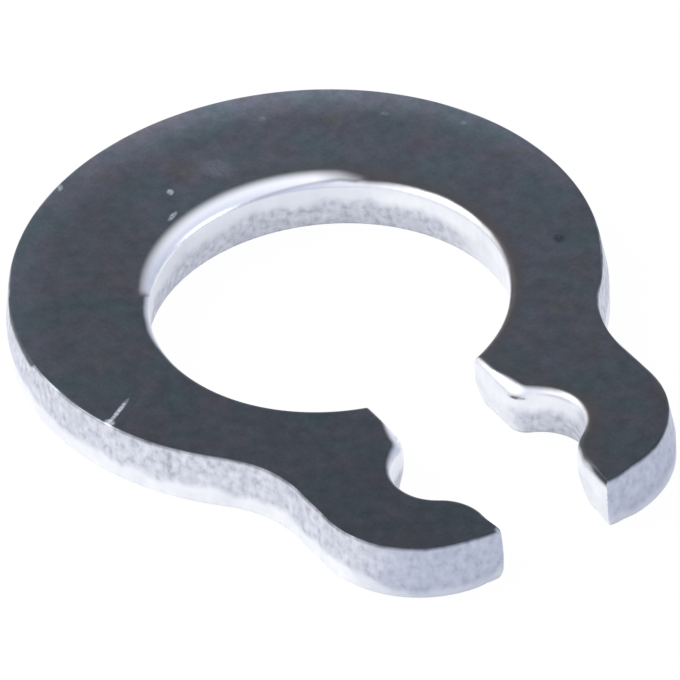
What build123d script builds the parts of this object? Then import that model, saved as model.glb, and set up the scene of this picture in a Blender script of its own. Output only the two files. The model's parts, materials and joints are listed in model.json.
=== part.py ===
"""Grip ring: an open retaining ring, stamped flat, that grips a plain shaft with no groove.

The ring is one piece of spring steel. Its bore is round and its outside is a larger circle set
off towards the back, so the spring section is deepest opposite the gap and thins towards the two
lugs. Each lug is rounded outside and has a hollow in its gap face, where the pliers' tip seats.

It is modelled as a press makes it. The bore and the gap are pierced through the strip from the
top, so their walls roll over at the top and tear away below. The outside is then blanked out of
the strip the other way, so its wall tears at the top and rolls over at the underside.

Frame, in millimetres: Z is the bore axis, the ring lies on Z = 0 with the rolled rim of its bore
up, and X runs from the back of the ring out through the middle of the gap.
"""

import os
from math import atan2, degrees, sqrt

from build123d import *

# Strip and bore. The free bore is 0.085 mm a side smaller than the 5 mm shaft, which is its grip.
strip_thickness = 0.80
bore_radius = 2.415

# Ring section, measured outwards from the bore: at the back, and where the outer circle would
# cross the X axis in the gap. These two widths set the outer circle and its offset.
back_width = 2.255
gap_side_width = 1.05

# Lugs: overall width across both, their rounded outer corner, and the concave neck where a lug
# leaves the ring.
lugs_across = 5.18
lug_radius = 1.55
neck_radius = 1.64

# Gap faces: width of the gap between the flats next to the bore, and between those at the tips,
# with the length of each flat.
gap_at_bore = 1.64
gap_at_tips = 1.60
bore_flat = 0.71
tip_flat = 0.47

# Pliers' hollows: width across the two floors, the hollow's radius and the radius of the rounded
# shoulders on both sides of it.
hollows_across = 2.76
hollow_radius = 0.65
bore_shoulder_radius = 0.35
tip_shoulder_radius = 0.70

# Pierced walls, round the bore and the gap: the roll at the top rim, and the torn band below
# pierced_tear_height, which leans away by pierced_lean at the underside.
pierced_roll = 0.11
pierced_tear_height = 0.40
pierced_lean = 0.085

# Blanked wall, round the outside: the torn band above blanked_tear_height, which leans in by
# blanked_lean at the top, and the roll at the underside.
blanked_tear_height = 0.36
blanked_lean = 0.065
blanked_roll = 0.075


def shoulder_offset(shoulder_radius, half_gap, hollow_centre_y):
    """X distance from the hollow's centre to a shoulder's, for two arcs that touch."""
    rise = half_gap + shoulder_radius - hollow_centre_y
    return sqrt((shoulder_radius + hollow_radius) ** 2 - rise**2)


def direction(start, end):
    """Angle in degrees of the line from one point to another."""
    return degrees(atan2(end[1] - start[1], end[0] - start[0]))


# Outer circle
outer_radius = bore_radius + (back_width + gap_side_width) / 2
outer_centre = (-(back_width - gap_side_width) / 2, 0)

# Gap face of the upper lug, from the bore out to the tip
bore_half_gap = gap_at_bore / 2
tip_half_gap = gap_at_tips / 2
bore_corner = (sqrt(bore_radius**2 - bore_half_gap**2), bore_half_gap)
hollow_y = hollows_across / 2 - hollow_radius
bore_shoulder = (bore_corner[0] + bore_flat, bore_half_gap + bore_shoulder_radius)
hollow = (bore_shoulder[0] + shoulder_offset(bore_shoulder_radius, bore_half_gap, hollow_y), hollow_y)
tip_shoulder = (
    hollow[0] + shoulder_offset(tip_shoulder_radius, tip_half_gap, hollow_y),
    tip_half_gap + tip_shoulder_radius,
)
tip = (tip_shoulder[0] + tip_flat, tip_half_gap)

# Rounded outer corner of the lug, which passes through the tip, and the neck, which touches both
# the lug's straight side and the outer circle
half_across = lugs_across / 2
lug_y = half_across - lug_radius
lug = (tip[0] - sqrt(lug_radius**2 - (tip_half_gap - lug_y) ** 2), lug_y)
neck_y = half_across + neck_radius
neck = (outer_centre[0] + sqrt((outer_radius + neck_radius) ** 2 - neck_y**2), neck_y)

# The strip reaches past the ring on every side, and the piercing past the tips
strip_margin = 1.0
strip_end = tip[0] + lug_radius

with BuildPart() as pierced_strip:
    with BuildSketch():
        with Locations((outer_centre[0], 0)):
            Rectangle(2 * (strip_end + strip_margin - outer_centre[0]), 2 * (outer_radius + strip_margin))
    extrude(amount=strip_thickness)

    with BuildSketch(Plane.XY.offset(pierced_tear_height)) as piercing:
        with BuildLine():
            bore_angle = direction((0, 0), bore_corner)
            CenterArc((0, 0), bore_radius, bore_angle, 180 - bore_angle)
            Line(bore_corner, (bore_shoulder[0], bore_half_gap))

            into_hollow = direction(bore_shoulder, hollow)
            CenterArc(bore_shoulder, bore_shoulder_radius, -90, into_hollow + 90)
            out_of_hollow = direction(hollow, tip_shoulder)
            CenterArc(hollow, hollow_radius, out_of_hollow, 180 + into_hollow - out_of_hollow)
            CenterArc(tip_shoulder, tip_shoulder_radius, out_of_hollow - 180, 90 - out_of_hollow)
            Line((tip_shoulder[0], tip_half_gap), (strip_end, tip_half_gap))
            Line((strip_end, tip_half_gap), (strip_end, 0))
            Line((strip_end, 0), (-bore_radius, 0))
        make_face()
        mirror(about=Plane.XZ)
    extrude(amount=strip_thickness - pierced_tear_height, mode=Mode.SUBTRACT)
    pierced_angle = degrees(atan2(pierced_lean, pierced_tear_height))
    extrude(piercing.sketch, amount=-pierced_tear_height, taper=-pierced_angle, mode=Mode.SUBTRACT)

    top_face = pierced_strip.faces().sort_by(Axis.Z)[-1]
    fillet(top_face.inner_wires()[0].edges(), radius=pierced_roll)

with BuildPart() as blank:
    with BuildSketch(Plane.XY.offset(blanked_tear_height)) as outside:
        with BuildLine():
            lug_end_angle = -degrees(atan2(lug_y, sqrt(lug_radius**2 - lug_y**2)))
            lug_end = (lug[0] + sqrt(lug_radius**2 - lug_y**2), 0)
            CenterArc(lug, lug_radius, lug_end_angle, 90 - lug_end_angle)
            Line((lug[0], half_across), (neck[0], half_across))
            into_neck = direction(outer_centre, neck)
            CenterArc(neck, neck_radius, -90, into_neck - 90)
            CenterArc(outer_centre, outer_radius, into_neck, 180 - into_neck)
            Line((outer_centre[0] - outer_radius, 0), lug_end)
        make_face()
        mirror(about=Plane.XZ)
    extrude(amount=-blanked_tear_height)
    fillet(blank.edges().group_by(Axis.Z)[0], radius=blanked_roll)
    blanked_height = strip_thickness - blanked_tear_height
    extrude(outside.sketch, amount=blanked_height, taper=degrees(atan2(blanked_lean, blanked_height)))

with BuildPart() as grip_ring:
    add(pierced_strip.part)
    add(blank.part, mode=Mode.INTERSECT)

os.makedirs("parts", exist_ok=True)
grip_ring.part.label = "grip_ring"
export_step(grip_ring.part, "parts/grip_ring.step")

print(f"overall {grip_ring.part.bounding_box().size}, volume {grip_ring.part.volume:.3f} mm3")
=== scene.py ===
"""The looks of a grip ring: one piece of blue-tempered spring strip, blanked flat, on a white floor.

The strip's two faces keep the thin dark oxide of the tempering furnace. Every sheared wall is bare
steel. The bore and the gap were pierced from the top, so their walls roll over at the top and tear
lower down. The outside was blanked against the die, so it tears at the top and rolls over below.

Lengths are in millimetres, but the floor, the lamps and the camera's clipping are in metres.
"""

import json
from math import atan2, cos, degrees, radians, sin, sqrt

import bmesh
import bpy
import numpy as np
from mathutils import Matrix, Vector


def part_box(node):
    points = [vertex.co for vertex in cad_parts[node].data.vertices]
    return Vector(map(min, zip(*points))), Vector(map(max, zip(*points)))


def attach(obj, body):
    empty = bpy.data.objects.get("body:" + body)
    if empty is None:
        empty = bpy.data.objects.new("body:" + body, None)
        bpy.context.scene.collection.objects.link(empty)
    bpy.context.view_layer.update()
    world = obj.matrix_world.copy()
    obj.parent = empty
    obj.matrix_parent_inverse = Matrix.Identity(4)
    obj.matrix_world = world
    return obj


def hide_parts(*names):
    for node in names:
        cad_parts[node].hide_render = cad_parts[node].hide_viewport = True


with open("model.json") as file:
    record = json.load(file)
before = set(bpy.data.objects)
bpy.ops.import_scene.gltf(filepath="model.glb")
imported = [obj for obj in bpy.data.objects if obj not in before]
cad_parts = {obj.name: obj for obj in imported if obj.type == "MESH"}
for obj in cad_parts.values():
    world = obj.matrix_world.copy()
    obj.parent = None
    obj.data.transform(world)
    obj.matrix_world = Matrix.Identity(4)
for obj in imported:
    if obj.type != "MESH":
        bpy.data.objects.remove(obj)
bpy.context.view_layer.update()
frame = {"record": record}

MM = 0.001

# ------------------------------------------------------------------------------ sizes, in mm

mounts = {mount["name"]: mount for mount in frame["record"]["mounts"]}
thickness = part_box("grip_ring")[1].z / MM
bore_radius = mounts["bore"]["dims"]["r_mm"]

# Outer circle: how far it stands from the bore at the back and, if it went on, in the gap
back_width = 2.255
gap_side_width = 1.05
outer_radius = bore_radius + (back_width + gap_side_width) / 2
outer_centre = (-(back_width - gap_side_width) / 2, 0)

# Lugs
half_across = 2.59
lug_radius = 1.55
neck_radius = 1.64

# Gap face of one lug: half gaps, flats, the pliers' hollow and the shoulders beside it
bore_half_gap = 0.82
tip_half_gap = 0.80
bore_flat = 0.71
tip_flat = 0.47
hollow_floor = 1.38
hollow_radius = 0.65
bore_shoulder_radius = 0.35
tip_shoulder_radius = 0.70

# Corners that stand upright, at the bore and at the tips, are worn to this radius
corner_radius = 0.035

# Pierced walls, from the top: a roll, a burnished band and a torn band that leans away. The roll
# grows at the first shoulder of the gap face, most at this lead before the shoulder's middle and
# over this reach on both sides, and in a crescent at the back of the bore.
roll_width = 0.11
roll_height = 0.14
bore_shoulder_roll = 0.04
bore_shoulder_lead = 0.12
bore_shoulder_reach = 0.5
crescent_roll = 0.155
pierced_tear_height = 0.40
pierced_lean = 0.085

# Crescent, in mm along the bore from the middle of the back and positive towards +Y: the middle
# of its curve, its reach from there, and where it ends short on the +Y side. Its width tapers and
# its painted highlight fades over these lengths before that end. A painted dark line, standing in
# for shade, marks its foot, and climbs towards that end.
crescent_middle = 0.2
crescent_reach = 2.55
crescent_end = 1.94
crescent_taper = 0.5
crescent_fade = 0.75
seam_depth = 0.27
seam_climb = 0.055

# Both walls share one section at the tips, and blend into it over tip_reach. It keeps this share
# of their lean and roll at its top, which stays sharp, and this share at its foot.
tip_share = 0.35
tip_foot_share = 0.6
tip_reach = 0.45

# The faces' oxide runs over the start of a pierced roll, and ends at the edge of a blanked wall.
# On the -Y side it runs further down the blanked wall, behind a step at this travel from the back.
oxide_on_roll = 0.075
oxide_on_blanked = 0.022
oxide_step = 0.075
oxide_step_at = 5.93

# Blanked walls, from the top: a worn edge, a torn band that leans out, a burnished band, a roll
worn_edge = 0.025
blanked_lean = 0.065
blanked_tear_height = 0.36
foot_roll = 0.075


# ------------------------------------------------------------------------------ outline

def arc(centre, radius, start, end, count, outward):
    """Points on a circle from one angle to another, and normals that are its spokes times outward."""
    angle = np.radians(np.linspace(start, end, count))
    spoke = np.stack([np.cos(angle), np.sin(angle)], axis=1)
    return np.asarray(centre) + radius * spoke, outward * spoke


def straight(start, end, normal, count):
    """Points spaced evenly on a line, all with the same normal."""
    share = np.linspace(0, 1, count)[:, None]
    points = np.asarray(start) * (1 - share) + np.asarray(end) * share
    return points, np.tile(np.float64(normal), (count, 1))


def direction(start, end):
    """Angle in degrees of the line from one point to another."""
    return degrees(atan2(end[1] - start[1], end[0] - start[0]))


def shoulder_offset(shoulder_radius, half_gap, hollow_y):
    """X distance from the hollow's centre to a shoulder's, for two arcs that touch."""
    rise = half_gap + shoulder_radius - hollow_y
    return sqrt((shoulder_radius + hollow_radius) ** 2 - rise**2)


def chain(*runs):
    """Joins runs end to end: each gives points and normals, and repeats the last point before it."""
    points = np.concatenate([run[0] if i == 0 else run[0][1:] for i, run in enumerate(runs)])
    normals = np.concatenate([run[1] if i == 0 else run[1][1:] for i, run in enumerate(runs)])
    return points, normals


def mitre(first, second):
    """The shift of a corner when both of its walls move one unit into the steel."""
    return np.linalg.solve(np.array([first, second]), [-1.0, -1.0])


def smooth(x):
    """0 below 0 and 1 above 1, with a level start and end."""
    x = np.clip(x, 0, 1)
    return x * x * (3 - 2 * x)


def eased_shrink(points, normals, corner, shift, reach=0.6):
    """Way that each point moves for one unit of inset: against its normal, and near a corner also
    along the wall, so that the wall still ends where the corner moves to."""
    along = np.stack([-normals[:, 1], normals[:, 0]], axis=1)
    slide = (shift + normals[corner]) @ along[corner]
    travel = np.concatenate([[0], np.cumsum(np.linalg.norm(np.diff(points, axis=0), axis=1))])
    ease = 1 - smooth(np.abs(travel - travel[corner]) / reach)
    return -normals + slide * ease[:, None] * along


def corner_fan(point, first, second, count):
    """Copies of a sharp corner with normals that turn from one wall's to the other's."""
    turn = np.linspace(0, 1, count)[:, None]
    normals = np.asarray(first) * (1 - turn) + np.asarray(second) * turn
    normals /= np.linalg.norm(normals, axis=1)[:, None]
    return np.tile(np.float64(point), (count, 1)), normals


class Wall:
    """One sheared wall of a half ring, from the middle of the back to the tip."""

    def __init__(self, points, normals, shrink):
        self.points, self.normals, self.shrink = points, normals, shrink
        step = np.linalg.norm(np.diff(points, axis=0), axis=1)
        self.travel = np.concatenate([[0], np.cumsum(step)])

    def at(self, inset):
        """The wall moved into the steel by inset, which has one row for each point of the wall."""
        base = self.points + corner_radius * (self.normals + self.shrink)
        return base[:, None] + inset[..., None] * self.shrink[:, None]


def half_ring():
    """Pierced and blanked walls of the half with Y above 0, matched point by point, and the travel
    along the pierced wall to its stations."""
    corner = np.array([sqrt(bore_radius**2 - bore_half_gap**2), bore_half_gap])
    bore_angle = direction((0, 0), corner)
    hollow_y = hollow_floor - hollow_radius
    first = (corner[0] + bore_flat, bore_half_gap + bore_shoulder_radius)
    hollow = (first[0] + shoulder_offset(bore_shoulder_radius, bore_half_gap, hollow_y), hollow_y)
    second = (
        hollow[0] + shoulder_offset(tip_shoulder_radius, tip_half_gap, hollow_y),
        tip_half_gap + tip_shoulder_radius,
    )
    tip = np.array([second[0] + tip_flat, tip_half_gap])
    into_hollow = direction(first, hollow)
    out_of_hollow = direction(hollow, second)

    lug_y = half_across - lug_radius
    lug = (tip[0] - sqrt(lug_radius**2 - (tip_half_gap - lug_y) ** 2), lug_y)
    neck_y = half_across + neck_radius
    neck = (outer_centre[0] + sqrt((outer_radius + neck_radius) ** 2 - neck_y**2), neck_y)
    into_neck = direction(outer_centre, neck)
    tip_angle = direction(lug, tip)

    # pierced wall: the bore, then the gap face
    bore = arc((0, 0), bore_radius, 180, bore_angle, 210, outward=-1)
    face = chain(
        straight(corner, (first[0], bore_half_gap), (0, -1), 16),
        arc(first, bore_shoulder_radius, -90, into_hollow, 34, outward=1),
        arc(hollow, hollow_radius, 180 + into_hollow, out_of_hollow, 44, outward=-1),
        arc(second, tip_shoulder_radius, out_of_hollow - 180, -90, 34, outward=1),
        straight((second[0], tip_half_gap), tip, (0, -1), 7),
    )
    # blanked wall: the outer circle, then the neck, the lug's side and its round end
    outside = arc(outer_centre, outer_radius, 180, into_neck, 210, outward=1)
    lug_wall = chain(
        arc(neck, neck_radius, into_neck - 180, -90, 40, outward=-1),
        straight((neck[0], half_across), (lug[0], half_across), (0, 1), 13),
        arc(lug, lug_radius, 90, tip_angle, 90, outward=1),
    )

    # the same number of points on both walls, with a fan at each upright corner
    fan, tip_fan = 9, 5
    corner_shift = mitre(bore[1][-1], face[1][0])
    tip_shift = mitre(face[1][-1], lug_wall[1][-1])
    middle = face[1][-1] + lug_wall[1][-1]
    middle /= np.linalg.norm(middle)
    bore_fan = corner_fan(corner, bore[1][-1], face[1][0], fan)
    face_tip = corner_fan(tip, face[1][-1], middle, tip_fan)
    lug_tip = corner_fan(tip, lug_wall[1][-1], middle, tip_fan)

    def shrink_of(wall, shift, end):
        return eased_shrink(wall[0], wall[1], end, shift)

    face_shrink = shrink_of(face, corner_shift, 0) + shrink_of(face, tip_shift, -1) + face[1]
    pierced = Wall(
        np.concatenate([bore[0], bore_fan[0][1:-1], face[0], face_tip[0][1:]]),
        np.concatenate([bore[1], bore_fan[1][1:-1], face[1], face_tip[1][1:]]),
        np.concatenate([
            shrink_of(bore, corner_shift, -1),
            np.tile(corner_shift, (fan - 2, 1)),
            face_shrink,
            np.tile(tip_shift, (tip_fan - 1, 1)),
        ]),
    )
    # the blanked wall's second part is resampled to the pierced wall's count
    wanted = np.linspace(0, len(lug_wall[0]) - 1, len(face[0]) + fan - 2)
    have = np.arange(len(lug_wall[0]))
    lug_points, lug_normals = (
        np.stack([np.interp(wanted, have, values[:, k]) for k in range(2)], axis=1) for values in lug_wall
    )
    lug_normals /= np.linalg.norm(lug_normals, axis=1)[:, None]
    blanked = Wall(
        np.concatenate([outside[0], lug_points, lug_tip[0][1:]]),
        np.concatenate([outside[1], lug_normals, lug_tip[1][1:]]),
        np.concatenate([
            -outside[1],
            eased_shrink(lug_points, lug_normals, -1, tip_shift),
            np.tile(tip_shift, (tip_fan - 1, 1)),
        ]),
    )
    # travel to the gap end of the bore, and to the middle of each shoulder of the gap face
    to_gap = bore_radius * radians(180 - bore_angle)
    bore_shoulder_turn = radians(90 + into_hollow)
    tip_shoulder_turn = radians(90 - out_of_hollow)
    stations = {
        "bore": to_gap,
        "bore_shoulder": bore_flat + bore_shoulder_radius * bore_shoulder_turn / 2 + to_gap,
        "tip_shoulder": pierced.travel[-1] - tip_flat - tip_shoulder_radius * tip_shoulder_turn / 2,
    }
    return pierced, blanked, stations


# ------------------------------------------------------------------------------ section

ROLL_STEPS = 12
BAND_STEPS = 5
TEAR_STEPS = 13


def quarter(width, height, count):
    """Insets and depths down a quarter ellipse, from level to upright; width and height may be arrays."""
    angle = np.linspace(np.pi / 2, 0, count)
    return np.multiply.outer(width, 1 - np.cos(angle)), np.multiply.outer(height, 1 - np.sin(angle))


def pierced_section(width, height):
    """Insets and heights down a pierced wall: roll, burnished band, then the torn band."""
    inset, depth = quarter(width, height, ROLL_STEPS)
    rows = len(width)
    band = np.linspace(0, 1, BAND_STEPS + 1)[1:]
    band_top = thickness - height
    band_height = band_top[:, None] + (pierced_tear_height - band_top)[:, None] * band
    tear = np.linspace(0, 1, TEAR_STEPS + 1)[1:]
    tear_height = np.tile(pierced_tear_height * (1 - tear), (rows, 1))
    tear_inset = np.tile(pierced_lean * tear**1.3, (rows, 1))
    return (
        np.concatenate([inset, np.zeros((rows, BAND_STEPS)), tear_inset], axis=1),
        np.concatenate([thickness - depth, band_height, tear_height], axis=1),
    )


def blanked_section(rows):
    """Insets and heights down a blanked wall: worn edge, torn band, burnished band, then the roll."""
    edge_steps = 5
    edge_inset, edge_depth = quarter(worn_edge, worn_edge, edge_steps)
    tear = np.linspace(0, 1, TEAR_STEPS + 1)[1:]
    tear_top = thickness - worn_edge
    tear_height = tear_top + (blanked_tear_height - tear_top) * tear
    tear_inset = blanked_lean * (1 - tear)
    band = np.linspace(0, 1, BAND_STEPS + 1)[1:]
    band_height = blanked_tear_height + (foot_roll - blanked_tear_height) * band
    roll_inset, roll_depth = quarter(foot_roll, foot_roll, ROLL_STEPS - edge_steps + 1)
    inset = np.concatenate([edge_inset + blanked_lean, tear_inset, 0 * band, roll_inset[::-1][1:]])
    height = np.concatenate([thickness - edge_depth, tear_height, band_height, roll_depth[::-1][1:]])
    return np.tile(inset, (rows, 1)), np.tile(height, (rows, 1))


def bell(x, centre, reach):
    """A smooth hump of height 1 at centre that ends at reach on both sides."""
    return smooth(1 - np.abs(x - centre) / reach)


def pierced_rolls(wall, stations, side):
    """Along the pierced wall of the +Y half (side 1) or the -Y half (side -1): the roll's width and
    height, how far down the roll the oxide runs, or the crescent's painted dark line lies, how much
    of the crescent is there, and how bright its painted highlight is, both from 0 to 1."""
    at_shoulder = bell(wall.travel, stations["bore_shoulder"] - bore_shoulder_lead, bore_shoulder_reach)
    width = roll_width + bore_shoulder_roll * at_shoulder
    height = roll_height * width / roll_width

    place = side * wall.travel
    crescent = np.clip(1 - ((place - crescent_middle) / crescent_reach) ** 2, 0, 1)
    crescent *= smooth((crescent_end - place) / crescent_taper)
    # painted highlight: how bright the crescent is painted; the same mask also bares it of oxide
    bright = smooth(crescent / 0.15) * np.clip((crescent_end - place) / crescent_fade, 0, 1)
    # the oxide's end swings lower and higher along the bore and at both shoulders
    wave = 0.040 * bell(wall.travel, 5.2, 1.3) - 0.038 * bell(wall.travel, 2.9, 1.3)
    wave += 0.060 * bell(wall.travel, stations["tip_shoulder"] - 0.2, 0.45)
    wave -= 0.020 * smooth((wall.travel - stations["bore_shoulder"]) / 0.3)
    wave += 0.040 * smooth((wall.travel - stations["tip_shoulder"]) / 0.25)
    oxide_end = (oxide_on_roll + wave) * (1 - at_shoulder)
    # depth of the crescent's painted dark line, where its oxide also ends
    seam = seam_depth - seam_climb * np.maximum(place, 0) ** 2
    oxide_end += smooth(crescent / 0.3) * (seam - oxide_end)
    return width + crescent_roll * crescent, height, oxide_end, crescent, bright


def torn_share_and_painted_light(wall, stations):
    """How torn the lower part of the pierced wall is: less by the gap end of the bore and at the tips,
    and fully at the back and in the pliers' hollow. This is partly painted light: walls that face the
    key light tear less and so turn out lighter, and the shaded hollow tears fully."""
    by_gap = smooth((wall.travel - 2.9) / 0.9) * (1 - smooth((wall.travel - stations["bore"] - 0.7) / 0.4))
    return 1 - 0.8 * np.maximum(by_gap, smooth((wall.travel - stations["tip_shoulder"]) / 0.3))


# ------------------------------------------------------------------------------ the ring's mesh

def half_grid(side):
    """Half of the ring as rungs across the steel, from the middle of the back to a tip. Each rung is
    a closed loop over the top, down the blanked wall, back under and up the pierced wall."""
    pierced, blanked, stations = half_ring()
    rows = len(pierced.points)
    width, height, inner_end, crescent, bright = pierced_rolls(pierced, stations, side)
    inner_end = inner_end[:, None]
    inner_inset, inner_height = pierced_section(width, height)
    outer_inset, outer_height = blanked_section(rows)

    # both walls take one section where they meet at the tip, nearly upright in its upper half
    tip_height = (inner_height + outer_height) / 2
    upright = smooth((tip_height - 0.3) / 0.2)
    tip_inset = (inner_inset + outer_inset) / 2 * (tip_foot_share - (tip_foot_share - tip_share) * upright)

    def blended(wall, values, tip_values):
        share = smooth(1 - (wall.travel[-1] - wall.travel) / tip_reach)[:, None]
        return values + share * (tip_values - values)

    inner = blended(pierced, inner_inset, tip_inset), blended(pierced, inner_height, tip_height)
    outer = blended(blanked, outer_inset, tip_inset), blended(blanked, outer_height, tip_height)
    behind_step = smooth((oxide_step_at - blanked.travel) / 0.12) * smooth((blanked.travel - 4.2) / 0.6)
    outer_end = oxide_on_blanked + (oxide_step * behind_step if side < 0 else 0 * behind_step)[:, None]
    inner_xy, outer_xy = pierced.at(inner[0]), blanked.at(outer[0])

    # loop of each rung
    across = 26
    share = np.linspace(0, 1, across + 1)[1:-1]
    near_blanked = np.tile(np.where(share > 0.5, 1.0, 0.0), (rows, 1))
    part = share[None, :, None]
    top = inner_xy[:, :1] * (1 - part) + outer_xy[:, :1] * part
    under = outer_xy[:, -1:] * (1 - part) + inner_xy[:, -1:] * part
    level = np.ones((rows, across - 1))
    loop_xy = np.concatenate([top, outer_xy, under, inner_xy[:, ::-1]], axis=1)
    loop_z = np.concatenate([thickness * level, outer[1], 0 * level, inner[1][:, ::-1]], axis=1)

    # depth: how far down its wall a point lies from the top edge, or minus its distance to that
    # edge on the top face
    def down(inset, level_z):
        step = np.hypot(np.diff(inset, axis=1), np.diff(level_z, axis=1))
        return np.concatenate([np.zeros((rows, 1)), np.cumsum(step, axis=1)], axis=1)

    breadth = np.linalg.norm(outer_xy[:, 0] - inner_xy[:, 0], axis=1)[:, None]
    to_edge = -breadth * np.minimum(share, 1 - share)
    ends = np.where(near_blanked, outer_end, inner_end)
    by_pierced = 1 - near_blanked
    inner_level, outer_level = 1 + 0 * inner[0], 1 + 0 * outer[0]
    travel = pierced.travel[:, None]
    crescent, bright = crescent[:, None], bright[:, None]
    torn = torn_share_and_painted_light(pierced, stations)[:, None]
    outer_travel = blanked.travel[:, None]
    # each value over the top, down the blanked wall, back under and up the pierced wall
    values = {
        "depth": [to_edge, down(*outer), 2 * level, down(*inner)[:, ::-1]],
        "oxide_end": [ends, outer_end * outer_level, level, inner_end * inner_level],
        "blanked": [near_blanked, outer_level, near_blanked[:, ::-1], 0 * inner_level],
        "along": [travel * level, outer_travel * outer_level, travel * level, travel * inner_level],
        "crescent": [crescent * by_pierced, 0 * outer_level, 0 * level, crescent * inner_level],
        "bright": [bright * by_pierced, 0 * outer_level, 0 * level, bright * inner_level],
        "torn": [level, outer_level, level, torn * inner_level],
    }
    values = {name: np.concatenate(parts, axis=1) for name, parts in values.items()}
    values["along"] *= side
    points = np.concatenate([loop_xy, loop_z[..., None]], axis=2) * [1, side, 1]
    return points, values


def build_ring():
    """Both halves of the ring as one grid, from the tip at -Y round the back to the tip at +Y."""
    first_points, first = half_grid(-1)
    second_points, second = half_grid(1)
    points = np.concatenate([first_points[::-1], second_points[1:]])
    values = {name: np.concatenate([first[name][::-1], second[name][1:]]) for name in first}
    return points, values


def grid_mesh(name, points, values):
    """A mesh of quads on a grid that closes on itself along its second side."""
    rungs, loop = points.shape[:2]
    index = np.arange(rungs * loop).reshape(rungs, loop)
    following = np.roll(index, -1, axis=1)
    quads = np.stack([index[:-1], following[:-1], following[1:], index[1:]], axis=-1).reshape(-1, 4)
    mesh = bpy.data.meshes.new(name)
    mesh.from_pydata((points.reshape(-1, 3) * MM).tolist(), [], quads.tolist())
    for title, value in values.items():
        attribute = mesh.attributes.new(title, "FLOAT", "POINT")
        attribute.data.foreach_set("value", value.reshape(-1).astype(np.float32))
    return mesh


def clean(mesh, merge_distance):
    """Merges what meets at the tips, turns every face outwards and smooths the shading."""
    work = bmesh.new()
    work.from_mesh(mesh)
    bmesh.ops.remove_doubles(work, verts=work.verts, dist=merge_distance)
    bmesh.ops.dissolve_degenerate(work, edges=work.edges, dist=merge_distance / 2)
    bmesh.ops.recalc_face_normals(work, faces=work.faces)
    for face in work.faces:
        face.smooth = True
    work.to_mesh(mesh)
    work.free()


# ------------------------------------------------------------------------------ materials

def srgb(code, alpha=1.0):
    """An sRGB hex colour as linear values."""
    channels = [int(code[i:i + 2], 16) / 255 for i in (1, 3, 5)]
    return [c / 12.92 if c <= 0.04045 else ((c + 0.055) / 1.055) ** 2.4 for c in channels] + [alpha]


def add(tree, kind, inputs=None, **settings):
    """Adds a node, applies its settings, and sets or links each named or numbered input."""
    node = tree.nodes.new(kind)
    for key, value in settings.items():
        setattr(node, key, value)
    for key, value in (inputs or {}).items():
        if isinstance(value, bpy.types.NodeSocket):
            tree.links.new(value, node.inputs[key])
        else:
            node.inputs[key].default_value = value
    return node


def new_material(name):
    material = bpy.data.materials.new(name)
    material.use_nodes = True
    material.node_tree.nodes.clear()
    return material, material.node_tree


def ramp(tree, value, stops):
    """A colour ramp through (position, hex colour) stops."""
    node = add(tree, "ShaderNodeValToRGB", {"Fac": value})
    while len(node.color_ramp.elements) < len(stops):
        node.color_ramp.elements.new(0.5)
    for element, (position, code) in zip(node.color_ramp.elements, stops):
        element.position = position
        element.color = srgb(code)
    return node.outputs["Color"]


def noise(tree, place, scale, detail=2.0):
    """Noise whose largest blots are about 1 / scale wide in the units of place."""
    node = add(tree, "ShaderNodeTexNoise", {"Vector": place, "Scale": scale, "Detail": detail})
    return node.outputs["Fac"]


def remap(tree, value, low, high, to_low=0.0, to_high=1.0, smoothed=False):
    """value from low..high to to_low..to_high, held at both ends."""
    kind = "SMOOTHSTEP" if smoothed else "LINEAR"
    inputs = {0: value, 1: low, 2: high, 3: to_low, 4: to_high}
    return add(tree, "ShaderNodeMapRange", inputs, interpolation_type=kind).outputs[0]


def maths(tree, operation, *values):
    return add(tree, "ShaderNodeMath", dict(enumerate(values)), operation=operation).outputs[0]


def mix(tree, share, first, second):
    """A blend of two colours, given as sockets or hex codes."""
    first, second = (srgb(c) if isinstance(c, str) else c for c in (first, second))
    return add(tree, "ShaderNodeMix", {0: share, 6: first, 7: second}, data_type="RGBA").outputs[2]


def spot(tree, place, centre, size, turn=0.0):
    """A soft oval mark: 1 at its centre and 0 past its half sizes along X, Y and Z, in mm, after a
    turn about Z in degrees."""
    centred = add(tree, "ShaderNodeVectorMath", {0: place, 1: centre}, operation="SUBTRACT")
    about_centre = {"Vector": centred.outputs[0], "Angle": -radians(turn)}
    turned = add(tree, "ShaderNodeVectorRotate", about_centre, rotation_type="Z_AXIS")
    scaled = add(tree, "ShaderNodeVectorMath", {0: turned.outputs[0], 1: size}, operation="DIVIDE")
    reach = add(tree, "ShaderNodeVectorMath", {0: scaled.outputs[0]}, operation="LENGTH")
    return remap(tree, reach.outputs["Value"], 1.0, 0.35, smoothed=True)


# Roughness of the three finishes, and the full height of their grain
oxide_roughness = 0.42
burnished_roughness = 0.32
torn_roughness = 0.5
relief_depth = 0.01

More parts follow.
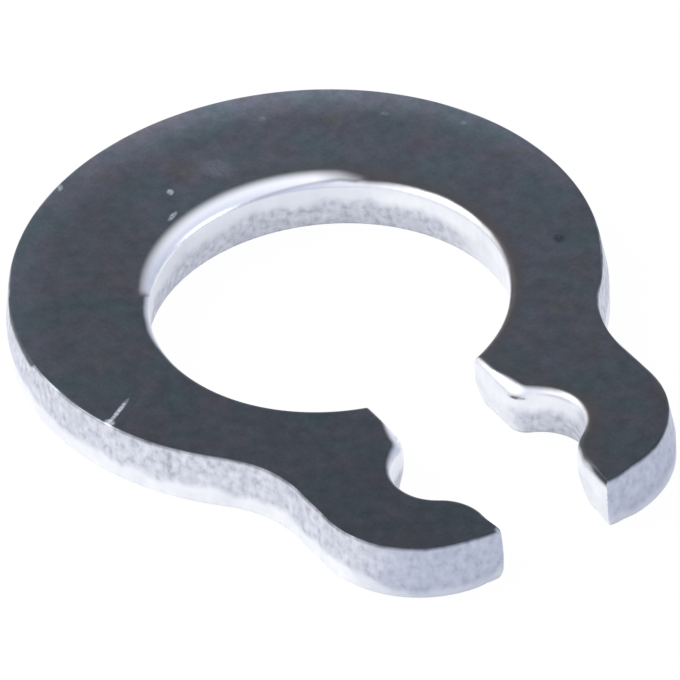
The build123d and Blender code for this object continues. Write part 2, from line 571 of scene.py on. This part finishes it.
# Marks on the ring: what they are, centre, half sizes, turn about Z, colour and strength
MARKS = [
    ("scratch", (0.43, -3.56, 0.78), (0.34, 0.045, 0.2), -59, "#d9dbe4", 0.7),
    ("scratched rim", (0.56, -3.78, 0.78), (0.10, 0.09, 0.1), 0, "#e4e6ee", 0.8),
    ("chipped rim", (-4.14, -1.73, 0.78), (0.10, 0.05, 0.1), -30, "#c9ccd6", 0.5),
    ("bright speck", (-3.15, -0.57, 0.8), (0.09, 0.06, 0.1), -20, "#c3c7d2", 0.6),
    ("rubbed rim of the bore", (-2.68, -0.82, 0.8), (0.14, 0.05, 0.1), -60, "#c6cad5", 0.6),
    ("thin oxide", (-3.23, 0.22, 0.8), (0.36, 0.26, 0.1), 15, "#6d727e", 0.4),
    ("faint speck", (-3.78, 1.30, 0.8), (0.07, 0.07, 0.1), 0, "#8d919c", 0.35),
    ("faint speck", (-2.86, 2.72, 0.8), (0.08, 0.06, 0.1), 30, "#8d919c", 0.35),
    ("faint speck", (-2.03, 3.47, 0.8), (0.07, 0.06, 0.1), 0, "#8d919c", 0.35),
    ("dark line", (3.62, 1.93, 0.8), (0.16, 0.03, 0.1), -81, "#34373f", 0.5),
    ("dark speck", (0.88, 3.11, 0.8), (0.13, 0.11, 0.1), 0, "#2c2f38", 1.0),
    # painted shade: a dark patch on the gap face just below its top edge; nothing there is modelled
    ("painted shade on the gap face", (3.19, 0.90, 0.65), (0.17, 0.17, 0.035), 0, "#6a6b72", 0.9),
    ("streak down the wall", (1.50, -3.45, 0.56), (0.06, 0.2, 0.28), 30, "#8d919e", 0.6),
    ("worn corner", (5.43, -0.83, 0.79), (0.09, 0.09, 0.05), 0, "#a9aebb", 0.9),
]


def spring_steel():
    """Blue-tempered spring steel. The faces are dark and satin under a thin oxide. It shifts a
    little between teal, violet and grey, and is browner by the pierced rim of the +Y half. A painted
    sheen makes it lighter towards the back and its outer rim. The sheared walls are bare: bright and
    smooth where they were burnished, grey and grained where they tore. Painted light whitens the
    crescent and thins the torn grey on walls that face the key light. Painted shade darkens the back
    of the bore and the lugs' round ends."""
    material, tree = new_material("blue_tempered_spring_steel")
    place = add(tree, "ShaderNodeTexCoord").outputs["Object"]
    mm = add(tree, "ShaderNodeVectorMath", {0: place, "Scale": 1 / MM}, operation="SCALE").outputs[0]
    x, y, z = add(tree, "ShaderNodeSeparateXYZ", {0: mm}).outputs
    depth, oxide_end, blanked, along, crescent, bright, torn_and_painted_light = (
        add(tree, "ShaderNodeAttribute", attribute_name=name).outputs["Fac"]
        for name in ("depth", "oxide_end", "blanked", "along", "crescent", "bright", "torn")
    )

    def times(first, *rest):
        for value in rest:
            first = maths(tree, "MULTIPLY", first, value)
        return first

    def flat_place(height_scale, shift):
        """Coordinates that unroll the walls: travel, a share of the height, and a shift for the wall."""
        height = times(z, height_scale)
        sideways = times(blanked, shift)
        return add(tree, "ShaderNodeCombineXYZ", {"X": along, "Y": height, "Z": sideways}).outputs[0]

    # oxide: clouds of hue 0.6 mm across, mottling of 0.2 mm, grain of 0.05 mm, and a painted sheen:
    # lighter towards the back and the outer rim, darker towards -Y
    hue = ramp(tree, noise(tree, mm, 1.6, 4.0), [
        (0.30, "#434f54"), (0.42, "#464e54"), (0.50, "#494e55"), (0.60, "#4c4d56"), (0.72, "#4d4e4f"),
    ])
    mottle = noise(tree, mm, 5.5, 3.0)
    grain = noise(tree, mm, 20.0, 2.0)
    to_back = remap(tree, x, 4.6, -4.6)
    # painted sheen: the faces' outer rim is painted lighter, most at the back and on the +Y side
    rim = times(
        remap(tree, depth, -0.75, 0.0, smoothed=True), blanked,
        remap(tree, to_back, 0.45, 1.0, 0.0, 0.9), remap(tree, y, -2.5, 2.0, 0.4, 1.3),
    )
    # mottle and grain are the oxide's own; the factors by to_back, by y and by the rim are painted sheen
    oxide_mottle_and_sheen = times(
        remap(tree, mottle, 0.3, 0.7, 0.86, 1.14), remap(tree, grain, 0.3, 0.7, 0.92, 1.08),
        remap(tree, to_back, 0.0, 1.0, 0.80, 1.12), remap(tree, y, -1.6, 0.2, 0.83, 1.0),
        maths(tree, "ADD", rim, 1.0),
    )
    oxide = add(tree, "ShaderNodeVectorMath", {0: hue, "Scale": oxide_mottle_and_sheen}, operation="SCALE").outputs[0]
    brown = times(
        remap(tree, depth, -0.35, 0.0), remap(tree, blanked, 0.0, 1.0, 1.0, 0.0),
        remap(tree, y, 0.0, 1.6, 0.0, 0.55),
    )
    oxide = mix(tree, brown, oxide, "#4b4542")

    # sheared walls: streaks down the wall, blotches of 0.25 mm, torn grain of 0.1 mm, and a torn
    # band with a wavy end, which reaches lower at the lugs' round ends
    wall_place = flat_place(0.16, 30.0)
    streak = noise(tree, wall_place, 6.0, 3.0)
    blotch = noise(tree, flat_place(0.7, 30.0), 4.0, 3.0)
    speck = noise(tree, flat_place(0.8, 50.0), 10.0, 3.0)
    wave = remap(tree, noise(tree, wall_place, 1.7, 3.0), 0.3, 0.7, -0.09, 0.09)
    level = maths(tree, "ADD", z, wave)
    at_lug_end = times(remap(tree, x, 4.3, 5.2, smoothed=True), blanked)
    torn_below = times(remap(tree, level, 0.54, 0.36, smoothed=True), torn_and_painted_light)
    raised = maths(tree, "SUBTRACT", level, times(at_lug_end, -0.16))
    torn_above = remap(tree, raised, 0.22, 0.38, smoothed=True)
    torn = add(tree, "ShaderNodeMix", {0: blanked, 2: torn_below, 3: torn_above}).outputs[0]
    burnished = ramp(tree, blotch, [(0.3, "#e8eaf0"), (0.7, "#f5f6f9")])
    # painted shade: the burnished band is darker at the back of the bore, whose walls face away from the
    # key light
    back_bore_shade = times(
        remap(tree, maths(tree, "ABSOLUTE", along), 2.4, 1.2, 0.0, 0.55),
        remap(tree, blanked, 0.0, 1.0, 1.0, 0.0),
    )
    burnished = mix(tree, back_bore_shade, burnished, "#d0d4de")
    grained = ramp(tree, speck, [(0.32, "#b4b8c5"), (0.46, "#cccfd8"), (0.7, "#e0e1e7")])
    grained = mix(tree, remap(tree, blotch, 0.58, 0.36, 0.0, 0.35), grained, "#b9bdc9")
    steel = mix(tree, torn, burnished, grained)
    # painted shade: the lugs' round ends are painted darker and bluer, as they face away from the key light
    steel = mix(tree, times(at_lug_end, 0.45), steel, "#98a2ba")

    # painted highlight: the crescent's roll is painted near white, down to a thin painted dark line at
    # its foot that stands in for shade
    past = maths(tree, "SUBTRACT", depth, oxide_end)
    white = times(remap(tree, past, 0.01, -0.02), bright, remap(tree, along, -2.4, -1.0))
    steel = mix(tree, white, steel, "#fcfdff")
    # painted shade: the thin dark line at the crescent's foot
    line = times(
        remap(tree, maths(tree, "ABSOLUTE", past), 0.04, 0.0, smoothed=True),
        remap(tree, crescent, 0.1, 0.3), remap(tree, along, -1.2, 1.5, 0.0, 0.35),
    )
    steel = mix(tree, line, steel, "#6b6d78")

    # the oxide fades out along a ragged line, and over the whole width of the crescent
    ragged = remap(tree, noise(tree, wall_place, 1.2, 4.0), 0.3, 0.7, -1.0, 1.0)
    ragged = times(ragged, remap(tree, blanked, 0.0, 1.0, 0.015, 0.028))
    past = maths(tree, "ADD", past, ragged)
    bare_roll = remap(tree, past, -0.035, 0.065, smoothed=True)
    bare_blanked = remap(tree, past, -0.030, 0.045, smoothed=True)
    bare_crescent = times(remap(tree, depth, -0.075, 0.15, smoothed=True), bright)
    bare = maths(tree, "MAXIMUM", bare_roll, bare_crescent)
    bare = add(tree, "ShaderNodeMix", {0: blanked, 2: bare, 3: bare_blanked}).outputs[0]

    colour = mix(tree, bare, oxide, steel)
    patchy = remap(tree, grain, 0.35, 0.6, 0.45, 1.0)
    for name, centre, size, turn, code, strength in MARKS:
        share = times(spot(tree, mm, centre, size, turn), patchy, strength)
        colour = mix(tree, share, colour, code)
    wall_rough = remap(tree, torn, 0.0, 1.0, burnished_roughness, torn_roughness)
    rough = add(tree, "ShaderNodeMix", {0: bare, 2: oxide_roughness, 3: wall_rough}).outputs[0]
    relief = add(tree, "ShaderNodeMix", {0: bare, 2: grain, 3: streak}).outputs[0]
    bump_inputs = {"Height": relief, "Strength": 0.3, "Distance": relief_depth * MM}
    bump = add(tree, "ShaderNodeBump", bump_inputs).outputs[0]
    surface = add(
        tree, "ShaderNodeBsdfPrincipled",
        {"Base Color": colour, "Roughness": rough, "Metallic": 1.0, "Normal": bump},
    )
    add(tree, "ShaderNodeOutputMaterial", {"Surface": surface.outputs[0]})
    return material


def white_floor():
    """Matt white card. Seen directly it is nearly plain white and keeps only a trace of the ring's
    shadow. The ring's walls reflect it as half plain white and half lit card."""
    material, tree = new_material("matt_white_card")
    card = add(tree, "ShaderNodeBsdfDiffuse", {"Color": srgb("#f4f4f4")}).outputs[0]
    white = add(tree, "ShaderNodeEmission", {"Color": srgb("#ffffff"), "Strength": 1.0}).outputs[0]
    path = add(tree, "ShaderNodeLightPath").outputs
    seen = maths(tree, "MAXIMUM", path["Is Camera Ray"], path["Is Transmission Ray"])
    plain_seen = maths(tree, "MULTIPLY", seen, 0.97)
    plain_reflected = maths(tree, "MULTIPLY", path["Is Glossy Ray"], 0.5)
    plain = maths(tree, "MAXIMUM", plain_seen, plain_reflected)
    mixed = add(tree, "ShaderNodeMixShader", {0: plain, 1: card, 2: white}).outputs[0]
    add(tree, "ShaderNodeOutputMaterial", {"Surface": mixed})
    return material


# ------------------------------------------------------------------------------ build

points, values = build_ring()
mesh = grid_mesh("stamped_ring", points, values)
clean(mesh, merge_distance=0.0005 * MM)
mesh.materials.append(spring_steel())
ring = bpy.data.objects.new("stamped_ring", mesh)
bpy.context.scene.collection.objects.link(ring)
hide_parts("grip_ring")
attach(ring, "root")

# floor: half its side, and a height that is a hair below the ring, in metres
floor_half = 0.3
floor_z = -5e-6
signs = ((-1, -1), (1, -1), (1, 1), (-1, 1))
floor_corners = [(floor_half * i, floor_half * j, floor_z) for i, j in signs]
floor_mesh = bpy.data.meshes.new("floor")
floor_mesh.from_pydata(floor_corners, [], [(0, 1, 2, 3)])
floor_mesh.materials.append(white_floor())
floor = bpy.data.objects.new("floor", floor_mesh)
bpy.context.scene.collection.objects.link(floor)

# ------------------------------------------------------------------------------ light

def white_studio(azimuth, near, far):
    """A soft white room, as strong as near on the side at azimuth and as far on the opposite side.
    Seen directly it is plain white."""
    world = bpy.data.worlds.new("white_studio")
    world.use_nodes = True
    tree = world.node_tree
    tree.nodes.clear()
    towards = add(tree, "ShaderNodeTexCoord").outputs["Generated"]
    a = radians(azimuth)
    side = add(tree, "ShaderNodeVectorMath", {0: towards, 1: (sin(a), -cos(a), 0)}, operation="DOT_PRODUCT")
    lit = remap(tree, side.outputs["Value"], -1.0, 1.0, far, near)
    tint = mix(tree, remap(tree, side.outputs["Value"], -1.0, 1.0), "#dfe7ff", "#fffcf8")
    path = add(tree, "ShaderNodeLightPath").outputs
    seen = maths(tree, "MAXIMUM", path["Is Camera Ray"], path["Is Transmission Ray"])
    strength = add(tree, "ShaderNodeMix", {0: seen, 2: lit, 3: 1.0}).outputs[0]
    colour = mix(tree, seen, tint, "#ffffff")
    sky = add(tree, "ShaderNodeBackground", {"Color": colour, "Strength": strength})
    add(tree, "ShaderNodeOutputWorld", {"Surface": sky.outputs[0]})
    bpy.context.scene.world = world


def softbox(name, azimuth, elevation, distance, size, power):
    """A square lamp that looks at the ring. Azimuth 0 stands on the -Y side, and 90 on the +X side."""
    data = bpy.data.lights.new(name, "AREA")
    data.energy, data.size = power, size
    a, e = radians(azimuth), radians(elevation)
    back = Vector((sin(a) * cos(e), -cos(a) * cos(e), sin(e)))
    lamp = bpy.data.objects.new(name, data)
    lamp.location = back * distance
    lamp.rotation_euler = back.to_track_quat("Z", "Y").to_euler()
    bpy.context.scene.collection.objects.link(lamp)


white_studio(azimuth=-40, near=1.55, far=0.65)
softbox("key", azimuth=-40, elevation=42, distance=0.3, size=0.16, power=0.35)
softbox("fill", azimuth=132, elevation=22, distance=0.3, size=0.14, power=0.16)

# ------------------------------------------------------------------------------ camera

camera_azimuth = 60.53
camera_elevation = 39.10
camera_roll = -4.63
camera_distance = 107.93
camera_target = (0.0748, 0.0665, 0)
sensor_width = 36.0
focal_length = 425.3

a, e, r = radians(camera_azimuth), radians(camera_elevation), radians(camera_roll)
back = Vector((sin(a) * cos(e), -cos(a) * cos(e), sin(e)))
level_right = Vector((cos(a), sin(a), 0))
level_up = back.cross(level_right)
right = cos(r) * level_right + sin(r) * level_up
up = -sin(r) * level_right + cos(r) * level_up
camera_data = bpy.data.cameras.new("camera")
camera_data.sensor_width = sensor_width
camera_data.lens = focal_length
camera_data.clip_start, camera_data.clip_end = 0.005, 5
camera = bpy.data.objects.new("camera", camera_data)
camera_place = Matrix.Translation((Vector(camera_target) + back * camera_distance) * MM)
camera.matrix_world = camera_place @ Matrix((right, up, back)).transposed().to_4x4()
bpy.context.scene.collection.objects.link(camera)
bpy.context.scene.camera = camera
bpy.context.scene.view_settings.view_transform = "Standard"
